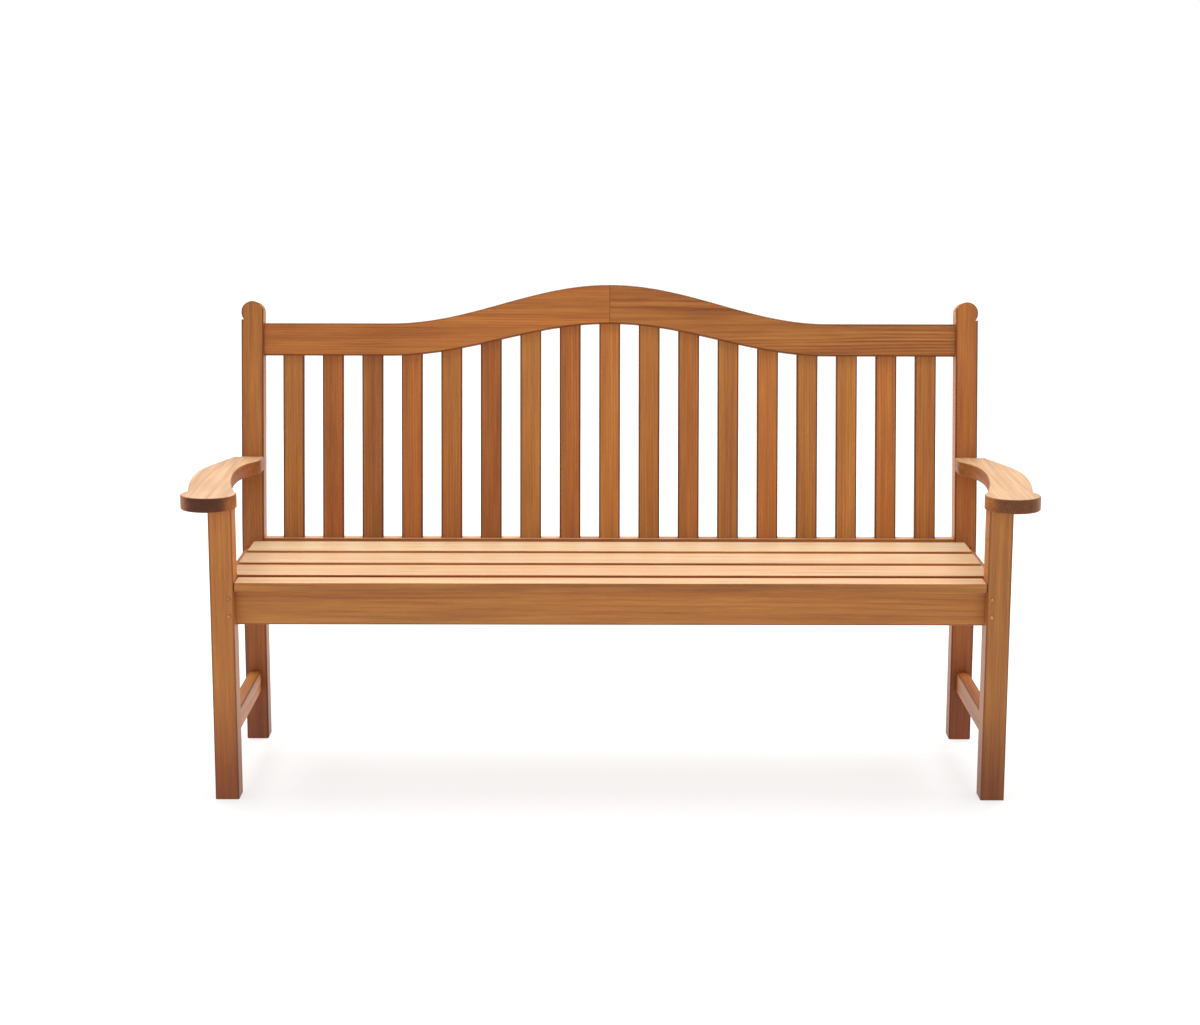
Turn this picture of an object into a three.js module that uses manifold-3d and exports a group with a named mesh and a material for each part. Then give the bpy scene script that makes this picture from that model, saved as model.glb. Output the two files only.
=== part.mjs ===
// Garden bench in oiled hardwood: a pegged mortise-and-tenon frame, a slatted seat, shaped armrests
// and a raked slatted back under a serpentine crest rail.
//
// Millimetres, +Z up. The bench faces -Y and is symmetric about X = 0; "left" is the -X side.
// While it is built, Y = 0 is the front of the front legs and Z = 0 is the ground. At the end the whole
// bench is shifted along Y, so that the origin lies on the ground below the middle of its overall box.

import * as THREE from 'three';
import { mergeVertices } from 'three/addons/utils/BufferGeometryUtils.js';
import Module from 'manifold-3d';

const wasm = await Module();
wasm.setup();

// ---------------------------------------------------------------- driving dimensions

// overall
const FRAME_WIDTH = 1500;        // outside to outside of the legs
const FRAME_DEPTH = 456;         // front of the front legs to back of the rear posts, at the ground
const SEAT_HEIGHT = 422;         // ground to the top of the seat slats
const BACK_HEIGHT = 481;         // seat top to the top of the posts, along the rake
const ARM_HEIGHT = 588;          // ground to the top of the armrests
const RAKE = THREE.MathUtils.degToRad(9);

// sections
const LEG_WIDTH = 45;            // front legs and rear posts, across the bench
const FRONT_LEG_DEPTH = 50;
const POST_DEPTH = 45;
const POST_BEND = 60;            // how far the post's bend reaches above and below the seat
const NICK_DEPTH = 5.5;          // nick below the round head, on the post's outer side
const RAIL_HEIGHT = 68;          // front and side seat rails
const FRONT_RAIL_THICKNESS = 25;
const FRONT_RAIL_INSET = 3;      // from the back of the rail to the back of the front legs
const SIDE_RAIL_THICKNESS = 30;
const SIDE_SETBACK = 7;          // side rails and stretchers, inside the legs' outer faces
const REAR_RAIL_THICKNESS = 28;
const BEARER_THICKNESS = 30;
const BEARER_HEIGHT = 55;
const STRETCHER_THICKNESS = 25;
const STRETCHER_HEIGHT = 42;
const STRETCHER_UNDERSIDE = 101; // above the ground
const ARM_THICKNESS = 28;

// seat slats
const SEAT_SLAT_THICKNESS = 18;
const SEAT_SLAT_WIDTH = 91;
const WIDE_SEAT_SLATS = 3;       // behind the legs; one narrow slat more fits between the legs
const SEAT_SLAT_BEARING = 10;    // length of each slat end that lies on the side rail

// back slats
const BACK_SLATS = 17;
const BACK_SLAT_WIDTH = 43;
const BACK_SLAT_THICKNESS = 15;
const BACK_SLAT_END_GAP = 38;    // between a post and the slat next to it
const HOUSING = 13;              // how deep a slat is let into each rail

// crest rail, measured along the rake from the seat top
const CREST_THICKNESS = 28;
const CREST_END_TOP = 437;
const CREST_END_DEPTH = 66;
const CREST_TOP_RISE = 79;       // how much higher the top edge is at the middle
const CREST_UNDER_RISE = 65.5;   // the same for the lower edge
const CREST_WAVE = 445;          // from the middle to where the rise begins
const CREST_STEPS = 28;          // facets along the wave

// armrest, in plan: X from the middle of the front leg (outwards), Y from its front face
const ARM_PADDLE_RADIUS = 52;    // the round front end
const ARM_PADDLE_OUT = 22.5;
const ARM_PADDLE_BACK = 19;
const ARM_NECK_ANGLE = THREE.MathUtils.degToRad(33); // how far the round runs past its widest line
const ARM_BELLY_OUT = 84;        // outermost point of the outer edge
const ARM_BELLY_BACK = 235;
const ARM_WAIST_OUT = 10;        // outermost point of the inner edge
const ARM_WAIST_BACK = 265;
const ARM_TAIL_OVERHANG = 6;     // beyond the post's outer face
const ARM_CURVE_STEPS = 10;

// joinery
const FIT = 0.3;                 // clearance between any two pieces
const ARRIS = 3;                 // radius of the eased long edges
const ARRIS_STEPS = 2;
const TENON_THICKNESS = 12;
const SIDE_TENON_THICKNESS = 10; // the side tenons pass outside the front and rear ones
const TENON_SHOULDER = 4;        // above and below a tenon
const SIDE_TENON = 30;           // length of the side rails' and stretchers' tenons
const SIDE_TENON_INSET = 10.5;   // from the leg's outer face to a side rail's tenon
const TENON_WALL = 4.5;          // wood between a front or rear rail's tenon and a side rail's
const CREST_TENON = 25;
const BEARER_TENON = 10;
const LEG_TENON_HEIGHT = 15;     // up into the armrest
const LEG_TENON_SHOULDER = 10;   // round that tenon
const PEG_RADIUS = 4;
const PEG_PROUD = 0.6;
const PEG_SIDES = 12;
const PEG_BITE = 3;              // how far a peg runs into the leg past its tenon
const FRONT_PEG_HEIGHTS = [21, 55]; // above the rail's lower edge
const REAR_PEG_HEIGHTS = [21, 64];
const SIDE_PEG_DEPTH = 15;       // from the shoulder of a side tenon to its peg
const DOWEL_RADIUS = 5;
const DOWEL_IN_ARM = 28;
const DOWEL_IN_POST = 22;
const TONGUE_THICKNESS = 6;
const TONGUE_HALF_LENGTH = 30;
const TONGUE_COVER = 14;         // wood left above the tongue, and between it and the slat below

// ---------------------------------------------------------------- places worked out from them

const legOuter = FRAME_WIDTH / 2;
const legInner = legOuter - LEG_WIDTH;
const legMiddle = legOuter - LEG_WIDTH / 2;
const postFront = FRAME_DEPTH - POST_DEPTH;
const postMiddle = FRAME_DEPTH - POST_DEPTH / 2;
const railTop = SEAT_HEIGHT - SEAT_SLAT_THICKNESS;
const railUnderside = railTop - RAIL_HEIGHT;
const sideOuter = legOuter - SIDE_SETBACK;
const sideRailInner = sideOuter - SIDE_RAIL_THICKNESS;
const sideTenonOuter = legOuter - SIDE_TENON_INSET;
const sideTenonInner = sideTenonOuter - SIDE_TENON_THICKNESS;
const betweenLegs = [FIT - legInner, legInner - FIT]; // what the front and rear rails span
const crossTenonEnd = sideTenonInner - TENON_WALL; // how far out the front and rear rails' tenons reach
const armUnderside = ARM_HEIGHT - ARM_THICKNESS;
const frontRailBack = FRONT_LEG_DEPTH - FRONT_RAIL_INSET;
const frontRailY = [frontRailBack - FRONT_RAIL_THICKNESS, frontRailBack];
const frontRailMiddle = frontRailBack - FRONT_RAIL_THICKNESS / 2;
const rearRailY = around(postMiddle, REAR_RAIL_THICKNESS);
const slatPitch = (2 * (legInner - BACK_SLAT_END_GAP) - BACK_SLAT_WIDTH) / (BACK_SLATS - 1);

// ---------------------------------------------------------------- wood and tools

const bench = new THREE.Group();

// the raked frame: its origin is the middle of the posts at seat height, its Z runs up the posts
const back = new THREE.Group();
back.position.set(0, postMiddle, SEAT_HEIGHT);
back.rotation.x = -RAKE;
back.updateMatrix();
bench.add(back);

function wood(color) {
  return new THREE.MeshStandardMaterial({ color, roughness: 0.55, metalness: 0 });
}

// a range of a given size around a middle, and a range that is larger at both ends
function around(middle, size) {
  return [middle - size / 2, middle + size / 2];
}

function grown([low, high], by) {
  return [low - by, high + by];
}

function rectangle([x0, x1], [y0, y1]) {
  const shape = new THREE.Shape();
  shape.moveTo(x0, y0);
  shape.lineTo(x1, y0);
  shape.lineTo(x1, y1);
  shape.lineTo(x0, y1);
  return shape;
}

function block(x, y, z) {
  const geometry = new THREE.ExtrudeGeometry(rectangle(x, y), { depth: z[1] - z[0], bevelEnabled: false });
  return geometry.translate(0, 0, z[0]);
}

// a flat outline in X and Y made a plank that fills the range z, its edges eased all round
function plank(outline, z, curveSegments = ARM_CURVE_STEPS) {
  const geometry = new THREE.ExtrudeGeometry(outline, {
    depth: z[1] - z[0] - 2 * ARRIS,
    curveSegments,
    bevelThickness: ARRIS,
    bevelSize: ARRIS,
    bevelOffset: -ARRIS,
    bevelSegments: ARRIS_STEPS,
  });
  return geometry.translate(0, 0, z[0] + ARRIS);
}

// a straight board that fills three ranges, with its four edges along one axis eased
function board(ranges, along) {
  const axes = {
    x: new THREE.Vector3(1, 0, 0),
    y: new THREE.Vector3(0, 1, 0),
    z: new THREE.Vector3(0, 0, 1),
  };
  const [u, v] = { x: ['y', 'z'], y: ['z', 'x'], z: ['x', 'y'] }[along];
  const [u0, u1] = grown(ranges[u], -ARRIS);
  const [v0, v1] = grown(ranges[v], -ARRIS);
  const section = new THREE.Shape();
  section.absarc(u1, v1, ARRIS, 0, Math.PI / 2);
  section.absarc(u0, v1, ARRIS, Math.PI / 2, Math.PI);
  section.absarc(u0, v0, ARRIS, Math.PI, Math.PI * 1.5);
  section.absarc(u1, v0, ARRIS, Math.PI * 1.5, Math.PI * 2);
  const [start, end] = ranges[along];
  const geometry = new THREE.ExtrudeGeometry(section, {
    depth: end - start,
    bevelEnabled: false,
    curveSegments: ARRIS_STEPS,
  });
  geometry.translate(0, 0, start);
  return geometry.applyMatrix4(new THREE.Matrix4().makeBasis(axes[u], axes[v], axes[along]));
}

// a round rod centred at the origin, along one axis
function rod(radius, length, along) {
  const geometry = new THREE.CylinderGeometry(radius, radius, length, PEG_SIDES);
  if (along === 'x') geometry.rotateZ(Math.PI / 2);
  if (along === 'z') geometry.rotateX(Math.PI / 2);
  return geometry;
}

function toSolid(geometry) {
  const bare = geometry.clone();
  bare.deleteAttribute('normal');
  bare.deleteAttribute('uv');
  const merged = mergeVertices(bare, 1e-4);
  return new wasm.Manifold(new wasm.Mesh({
    numProp: 3,
    vertProperties: new Float32Array(merged.attributes.position.array),
    triVerts: new Uint32Array(merged.index.array),
  }));
}

function toGeometry(solid) {
  const { vertProperties, triVerts } = solid.getMesh();
  const geometry = new THREE.BufferGeometry();
  geometry.setAttribute('position', new THREE.BufferAttribute(vertProperties, 3));
  geometry.setIndex(new THREE.BufferAttribute(triVerts, 1));
  geometry.computeVertexNormals();
  return geometry;
}

function joined(first, ...others) {
  return toGeometry(others.reduce((solid, other) => solid.add(toSolid(other)), toSolid(first)));
}

function cut(first, ...tools) {
  return toGeometry(tools.reduce((solid, tool) => solid.subtract(toSolid(tool)), toSolid(first)));
}

function common(first, other) {
  return toGeometry(toSolid(first).intersect(toSolid(other)));
}

function mirrored(geometry) {
  const copy = geometry.clone().scale(-1, 1, 1);
  const index = copy.index ?? new THREE.BufferAttribute(
    Uint32Array.from({ length: copy.attributes.position.count }, (_, i) => i), 1);
  for (let i = 0; i < index.count; i += 3) {
    const first = index.getX(i);
    index.setX(i, index.getX(i + 2));
    index.setX(i + 2, first);
  }
  copy.setIndex(index);
  copy.computeVertexNormals();
  return copy;
}

// from the raked frame to the bench's own
function raked(geometry) {
  return geometry.clone().applyMatrix4(back.matrix);
}

function add(name, geometry, color, parent = bench) {
  const mesh = new THREE.Mesh(geometry, wood(color));
  mesh.name = name;
  parent.add(mesh);
  return mesh;
}

// a piece that is modelled on the right and has a mirror twin on the left
function addPair(name, geometry, color, parent = bench) {
  add(`${name}_right`, geometry, color, parent);
  add(`${name}_left`, mirrored(geometry), color, parent);
}

// ---------------------------------------------------------------- tenons and pegs, right-hand side

// Each is made at its own size, or grown by the clearance to cut the mortise or hole that takes it.

function frontRailTenon(by = 0) {
  const x = [legInner - FIT, crossTenonEnd];
  const y = around(frontRailMiddle, TENON_THICKNESS);
  const z = [railUnderside + TENON_SHOULDER, railTop - TENON_SHOULDER];
  return block(grown(x, by), grown(y, by), grown(z, by));
}

function rearRailTenon(by = 0) {
  const x = [legInner - FIT, crossTenonEnd];
  const y = around(postMiddle, TENON_THICKNESS);
  const z = [railUnderside + TENON_SHOULDER, SEAT_HEIGHT - TENON_SHOULDER];
  return block(grown(x, by), grown(y, by), grown(z, by));
}

// one block that runs through a side piece from the end of its front tenon to the end of its rear one
function sideTenons(outer, [low, high], by) {
  const x = [outer - SIDE_TENON_THICKNESS, outer];
  const y = [FRONT_LEG_DEPTH - SIDE_TENON, postFront + SIDE_TENON];
  const z = [low + TENON_SHOULDER, high - TENON_SHOULDER];
  return block(grown(x, by), grown(y, by), grown(z, by));
}

function sideRailTenons(by = 0) {
  return sideTenons(sideTenonOuter, [railUnderside, railTop], by);
}

function stretcherTenons(by = 0) {
  const outer = sideOuter - (STRETCHER_THICKNESS - SIDE_TENON_THICKNESS) / 2;
  const z = [STRETCHER_UNDERSIDE, STRETCHER_UNDERSIDE + STRETCHER_HEIGHT];
  return sideTenons(outer, z, by);
}

function legTenon(by = 0) {
  const x = around(legMiddle, LEG_WIDTH - 2 * LEG_TENON_SHOULDER);
  const y = around(FRONT_LEG_DEPTH / 2, FRONT_LEG_DEPTH - 2 * LEG_TENON_SHOULDER);
  return block(grown(x, by), grown(y, by), grown([armUnderside - FIT, armUnderside + LEG_TENON_HEIGHT], by));
}

// in the raked frame
function crestTenon(by = 0) {
  const x = [legInner - FIT, legInner + CREST_TENON];
  const z = [CREST_END_TOP - CREST_END_DEPTH + TENON_SHOULDER, CREST_END_TOP - TENON_SHOULDER];
  return block(grown(x, by), grown(around(0, TENON_THICKNESS), by), grown(z, by));
}

// Every peg fills a range along one axis at a point in the other two. The same list gives the pegs
// themselves and the holes that the legs, posts and tenons have for them.
const pegX = (legInner + crossTenonEnd) / 2;
const sidePegX = [sideTenonInner - TENON_WALL / 2 + FIT, legOuter + PEG_PROUD];
const stretcherPegX = [sideOuter - (STRETCHER_THICKNESS + SIDE_TENON_THICKNESS) / 2 - PEG_BITE,
  legOuter + PEG_PROUD];
const sidePegEnds = { front: FRONT_LEG_DEPTH - SIDE_PEG_DEPTH, rear: postFront + SIDE_PEG_DEPTH };
const stretcherMiddle = STRETCHER_UNDERSIDE + STRETCHER_HEIGHT / 2;
const frontTenonBack = frontRailMiddle + TENON_THICKNESS / 2;
const rearTenonFront = postMiddle - TENON_THICKNESS / 2;

const pegs = {
  front: [], // in the front leg
  rear: [],  // in the rear post
};

function peg(name, point, along, [from, to], where) {
  const place = point.clone().setComponent('xyz'.indexOf(along), (from + to) / 2);
  pegs[where].push({ name, place, along, length: to - from });
}

for (const [i, height] of FRONT_PEG_HEIGHTS.entries()) {
  const place = new THREE.Vector3(pegX, 0, railUnderside + height);
  peg(`front_rail_peg_${i + 1}`, place, 'y', [-PEG_PROUD, frontTenonBack + PEG_BITE], 'front');
}
for (const [i, height] of REAR_PEG_HEIGHTS.entries()) {
  const place = new THREE.Vector3(pegX, 0, railUnderside + height);
  peg(`rear_rail_peg_${i + 1}`, place, 'y', [rearTenonFront - PEG_BITE, FRAME_DEPTH + PEG_PROUD], 'rear');
}
for (const [end, y] of Object.entries(sidePegEnds)) {
  const railPlace = new THREE.Vector3(0, y, railUnderside + RAIL_HEIGHT / 2);
  const stretcherPlace = new THREE.Vector3(0, y, stretcherMiddle);
  peg(`side_rail_peg_${end}`, railPlace, 'x', sidePegX, end);
  peg(`stretcher_peg_${end}`, stretcherPlace, 'x', stretcherPegX, end);
}

function pegRod({ place, along, length }, by = 0) {
  return rod(PEG_RADIUS + by, length + 2 * by, along).translate(place.x, place.y, place.z);
}

const frontPegHoles = pegs.front.map((each) => pegRod(each, FIT));
const rearPegHoles = pegs.rear.map((each) => pegRod(each, FIT));

// the crest's peg lies in the raked frame
const crestPegY = [-TENON_THICKNESS / 2 - PEG_BITE, POST_DEPTH / 2 + PEG_PROUD];
const crestPegX = legInner + CREST_TENON / 2;
const crestPegZ = CREST_END_TOP - CREST_END_DEPTH / 2;

function crestPeg(by = 0) {
  const length = crestPegY[1] - crestPegY[0] + 2 * by;
  const middle = (crestPegY[0] + crestPegY[1]) / 2;
  return rod(PEG_RADIUS + by, length, 'y').translate(crestPegX, middle, crestPegZ);
}

// the dowel that pins the armrest's back end runs along Y into the raked post
const armMiddleZ = armUnderside + ARM_THICKNESS / 2;
const postMiddleAtArm = postMiddle + (armMiddleZ - SEAT_HEIGHT) * Math.tan(RAKE);
const postFrontAtArm = postMiddleAtArm - POST_DEPTH / 2 / Math.cos(RAKE);

function armDowel(by = 0) {
  const length = DOWEL_IN_ARM + DOWEL_IN_POST + 2 * by;
  const middle = postFrontAtArm + (DOWEL_IN_POST - DOWEL_IN_ARM) / 2;
  return rod(DOWEL_RADIUS + by, length, 'y').translate(legMiddle, middle, armMiddleZ);
}

// ---------------------------------------------------------------- front legs

function frontLeg() {
  const leg = board({ x: [legInner, legOuter], y: [0, FRONT_LEG_DEPTH], z: [0, armUnderside - FIT] }, 'z');
  return cut(joined(leg, legTenon()), frontRailTenon(FIT), sideRailTenons(FIT), stretcherTenons(FIT),
    ...frontPegHoles);
}

// ---------------------------------------------------------------- rear posts

// Side view, as (Y, Z): upright to the seat, then leaning back, with a smooth bend between.
function postProfile() {
  const half = POST_DEPTH / 2;
  const onRake = (across, along) => [
    postMiddle + across * Math.cos(RAKE) + along * Math.sin(RAKE),
    SEAT_HEIGHT + along * Math.cos(RAKE) - across * Math.sin(RAKE),
  ];
  const kink = half * Math.tan(RAKE / 2);
  const profile = new THREE.Shape();
  profile.moveTo(postFront, 0);
  profile.lineTo(FRAME_DEPTH, 0);
  profile.lineTo(FRAME_DEPTH, SEAT_HEIGHT - POST_BEND);
  profile.quadraticCurveTo(FRAME_DEPTH, SEAT_HEIGHT - kink, ...onRake(half, POST_BEND));
  profile.lineTo(...onRake(half, BACK_HEIGHT));
  profile.lineTo(...onRake(-half, BACK_HEIGHT));
  profile.lineTo(...onRake(-half, POST_BEND));
  profile.quadraticCurveTo(postFront, SEAT_HEIGHT + kink, postFront, SEAT_HEIGHT - POST_BEND);
  return profile;
}

// Front view in the raked frame: a round head the full width of the post, nicked on its outer side.
// Below the head the outline is wider than the post, so that only the head is shaped by it.
function headPrism() {
  const radius = LEG_WIDTH / 2;
  const clear = LEG_WIDTH;
  const reach = SEAT_HEIGHT + BACK_HEIGHT;
  const centre = BACK_HEIGHT - radius;
  const nickAngle = -Math.acos((radius - NICK_DEPTH) / radius);
  const outline = new THREE.Shape();
  outline.moveTo(legInner - clear, -reach);
  outline.lineTo(legOuter + clear, -reach);
  outline.lineTo(legOuter + clear, centre + radius * Math.sin(nickAngle));
  outline.absarc(legMiddle, centre, radius, nickAngle, Math.PI);
  outline.lineTo(legInner - clear, centre);
  const prism = new THREE.ExtrudeGeometry(outline, { depth: 2 * FRAME_DEPTH, bevelEnabled: false });
  return prism.rotateX(Math.PI / 2).translate(0, FRAME_DEPTH, 0);
}

function rearPost() {
  // the profile's (x, y) and its thickness become the bench's (Y, Z) and X
  const turn = new THREE.Matrix4().makeBasis(
    new THREE.Vector3(0, 1, 0), new THREE.Vector3(0, 0, 1), new THREE.Vector3(1, 0, 0));
  const post = plank(postProfile(), [legInner, legOuter]).applyMatrix4(turn);
  return cut(common(post, raked(headPrism())), rearRailTenon(FIT), sideRailTenons(FIT), stretcherTenons(FIT),
    raked(crestTenon(FIT)), raked(crestPeg(FIT)), armDowel(FIT), ...rearPegHoles);
}

// ---------------------------------------------------------------- back slats and crest rail, raked

// how much of the crest's rise there is at x: a smooth wave, level at the middle and at its ends
function wave(x) {
  return Math.abs(x) < CREST_WAVE ? (1 + Math.cos(Math.PI * x / CREST_WAVE)) / 2 : 0;
}

function crestTop(x) {
  return CREST_END_TOP + CREST_TOP_RISE * wave(x);
}

function crestUnderside(x) {
  return CREST_END_TOP - CREST_END_DEPTH + CREST_UNDER_RISE * wave(x);
}

function backSlatRanges(x) {
  const corners = around(x, BACK_SLAT_WIDTH);
  const top = Math.max(crestUnderside(x), ...corners.map(crestUnderside)) + HOUSING;
  return { x: around(0, BACK_SLAT_WIDTH), y: around(0, BACK_SLAT_THICKNESS), z: [-HOUSING, top] };
}

const backSlatPlaces = Array.from({ length: BACK_SLATS }, (_, i) => (i - (BACK_SLATS - 1) / 2) * slatPitch);

// the hole that takes a slat's ends
function backSlatHousing(x) {
  const slat = backSlatRanges(x);
  return block(grown(slat.x, FIT), grown(slat.y, FIT), grown(slat.z, FIT)).translate(x, 0, 0);
}

function crestTongue(by = 0) {
  const x = around(0, 2 * TONGUE_HALF_LENGTH);
  const z = [crestUnderside(0) + HOUSING + TONGUE_COVER, crestTop(0) - TONGUE_COVER];
  return block(grown(x, by), grown(around(0, TONGUE_THICKNESS), by), grown(z, by));
}

// the whole serpentine board, longer than the rail so that its ends are cut square
function crestBoard() {
  const end = legInner + LEG_WIDTH;
  const onWave = Array.from({ length: CREST_STEPS + 1 }, (_, i) => (i / CREST_STEPS * 2 - 1) * CREST_WAVE);
  const outline = new THREE.Shape();
  outline.moveTo(-end, crestUnderside(end));
  onWave.forEach((x) => outline.lineTo(x, crestUnderside(x)));
  outline.lineTo(end, crestUnderside(end));
  outline.lineTo(end, crestTop(end));
  onWave.toReversed().forEach((x) => outline.lineTo(x, crestTop(x)));
  outline.lineTo(-end, crestTop(end));
  return plank(outline, around(0, CREST_THICKNESS)).rotateX(Math.PI / 2);
}

function crestHalf() {
  const clear = CREST_THICKNESS;
  const half = block([FIT / 2, legInner - FIT], grown([0, 0], clear), [0, crestTop(0) + clear]);
  const housings = backSlatPlaces.map(backSlatHousing);
  return cut(joined(common(crestBoard(), half), crestTenon()), crestTongue(FIT), crestPeg(FIT), ...housings);
}

// ---------------------------------------------------------------- seat frame

function bearerTenons(by = 0) {
  const y = [frontRailBack - BEARER_TENON, rearRailY[0] + BEARER_TENON];
  const z = [railTop - BEARER_HEIGHT + TENON_SHOULDER, railTop - TENON_SHOULDER];
  return block(grown(around(0, TENON_THICKNESS), by), grown(y, by), grown(z, by));
}

function frontSeatRail() {
  const rail = board({ x: betweenLegs, y: frontRailY, z: [railUnderside, railTop - FIT] }, 'x');
  const withTenons = joined(rail, frontRailTenon(), mirrored(frontRailTenon()));
  return cut(withTenons, bearerTenons(FIT), ...frontPegHoles, ...frontPegHoles.map(mirrored));
}

function rearSeatRail() {
  const rail = board({ x: betweenLegs, y: rearRailY, z: [railUnderside, SEAT_HEIGHT] }, 'x');
  const withTenons = joined(rail, rearRailTenon(), mirrored(rearRailTenon()));
  const housings = backSlatPlaces.map((x) => raked(backSlatHousing(x)));
  return cut(withTenons, bearerTenons(FIT), ...rearPegHoles, ...rearPegHoles.map(mirrored), ...housings);
}

// what a side piece spans, front to back
const frontToBack = [FRONT_LEG_DEPTH + FIT, postFront - FIT];

function sideSeatRail() {
  const x = [sideRailInner, sideOuter];
  const rail = board({ x, y: frontToBack, z: [railUnderside, railTop - FIT] }, 'y');
  return cut(joined(rail, sideRailTenons()), ...frontPegHoles, ...rearPegHoles);
}

function sideStretcher() {
  const x = [sideOuter - STRETCHER_THICKNESS, sideOuter];
  const z = [STRETCHER_UNDERSIDE, STRETCHER_UNDERSIDE + STRETCHER_HEIGHT];
  const stretcher = board({ x, y: frontToBack, z }, 'y');
  return cut(joined(stretcher, stretcherTenons()), ...frontPegHoles, ...rearPegHoles);
}

function middleBearer() {
  const y = [frontRailBack + FIT, rearRailY[0] - FIT];
  const z = [railTop - BEARER_HEIGHT, railTop - FIT];
  const bearer = board({ x: around(0, BEARER_THICKNESS), y, z }, 'y');
  return joined(bearer, bearerTenons());
}

// ---------------------------------------------------------------- seat slats

function seatSlat(halfLength, width) {
  return plank(rectangle([-halfLength, halfLength], [0, width]), [railTop, SEAT_HEIGHT]);
}

function addSeatSlats(color) {
  add('seat_slat_1', seatSlat(legInner - FIT, FRONT_LEG_DEPTH), color);
  const free = postFront - FRONT_LEG_DEPTH - WIDE_SEAT_SLATS * SEAT_SLAT_WIDTH;
  const gap = free / (WIDE_SEAT_SLATS + 1);
  const wideSlat = seatSlat(sideRailInner + SEAT_SLAT_BEARING, SEAT_SLAT_WIDTH);
  for (let i = 0; i < WIDE_SEAT_SLATS; i++) {
    const slat = add(`seat_slat_${i + 2}`, wideSlat, color);
    slat.position.y = FRONT_LEG_DEPTH + gap + i * (SEAT_SLAT_WIDTH + gap);
  }
}

// ---------------------------------------------------------------- armrests

// Plan view: a round paddle over the leg, a swelling outer edge, a waisted inner edge, and a tail as
// wide as the post, which is run past the post's front and cut to its rake.
function armOutline() {
  const paddleX = legMiddle + ARM_PADDLE_OUT;
  const neckX = ARM_PADDLE_RADIUS * Math.cos(ARM_NECK_ANGLE);
  const neckY = ARM_PADDLE_BACK + ARM_PADDLE_RADIUS * Math.sin(ARM_NECK_ANGLE);
  const belly = legMiddle + ARM_BELLY_OUT;
  const waist = legMiddle + ARM_WAIST_OUT;
  const tailEnd = postFrontAtArm + POST_DEPTH;
  const tailOuter = legOuter + ARM_TAIL_OVERHANG;
  const tailRoot = postFrontAtArm - ARM_THICKNESS;
  const bellyPull = (tailRoot - ARM_BELLY_BACK) / 2;
  const waistPull = (tailRoot - ARM_WAIST_BACK) / 2;

  const outline = new THREE.Shape();
  outline.moveTo(paddleX + neckX, neckY);
  outline.bezierCurveTo(paddleX + neckX + ARM_PADDLE_RADIUS / 8, neckY + ARM_PADDLE_RADIUS,
    belly, ARM_BELLY_BACK - bellyPull, belly, ARM_BELLY_BACK);
  outline.bezierCurveTo(belly, ARM_BELLY_BACK + bellyPull,
    tailOuter + ARM_THICKNESS, tailRoot - bellyPull / 2, tailOuter, tailEnd);
  outline.lineTo(legInner, tailEnd);
  outline.lineTo(legInner, tailRoot);
  outline.bezierCurveTo(legInner, tailRoot - waistPull / 2,
    waist, tailRoot - waistPull / 2, waist, ARM_WAIST_BACK);
  outline.bezierCurveTo(waist, ARM_WAIST_BACK - waistPull,
    paddleX - neckX + ARM_PADDLE_RADIUS / 4, neckY + ARM_PADDLE_RADIUS, paddleX - neckX, neckY);
  outline.absarc(paddleX, ARM_PADDLE_BACK, ARM_PADDLE_RADIUS, Math.PI - ARM_NECK_ANGLE,
    2 * Math.PI + ARM_NECK_ANGLE);
  return outline;
}

// everything behind the post's front face, less the clearance
function behindPostFront() {
  const x = grown([legInner, legOuter], LEG_WIDTH);
  return raked(block(x, [-POST_DEPTH / 2 - FIT, 2 * POST_DEPTH], [0, BACK_HEIGHT]));
}

function armrest() {
  const arm = plank(armOutline(), [armUnderside, ARM_HEIGHT]);
  return cut(arm, legTenon(FIT), behindPostFront(), armDowel(FIT));
}

// ---------------------------------------------------------------- the bench put together

const colours = { frame: 0xa5693c, post: 0x9c5d33, crest: 0xa8683a, slat: 0xa2673b, seat: 0xc28a58,
  arm: 0xb97f50, peg: 0xb87c4c };

addPair('front_leg', frontLeg(), colours.frame);
addPair('rear_post', rearPost(), colours.post);
add('front_seat_rail', frontSeatRail(), colours.frame);
add('rear_seat_rail', rearSeatRail(), colours.frame);
addPair('side_seat_rail', sideSeatRail(), colours.frame);
addPair('side_stretcher', sideStretcher(), colours.frame);
add('middle_bearer', middleBearer(), colours.frame);
addSeatSlats(colours.seat);
addPair('armrest', armrest(), colours.arm);
addPair('arm_dowel', armDowel(), colours.peg);

addPair('crest_rail', crestHalf(), colours.crest, back);
add('crest_tongue', crestTongue(), colours.peg, back);
addPair('crest_peg', crestPeg(), colours.peg, back);
backSlatPlaces.forEach((x, i) => {
  const name = `back_slat_${String(i + 1).padStart(2, '0')}`;
  const slat = add(name, board(backSlatRanges(x), 'z'), colours.slat, back);
  slat.position.x = x;
});

for (const each of [...pegs.front, ...pegs.rear]) {
  addPair(each.name, pegRod(each), colours.peg);
}

const overall = new THREE.Box3().setFromObject(bench, true);
bench.position.y = -(overall.min.y + overall.max.y) / 2;

export default bench;
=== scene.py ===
import math
import random

import bmesh
import bpy
import numpy as np
from mathutils import Matrix, Vector


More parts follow.
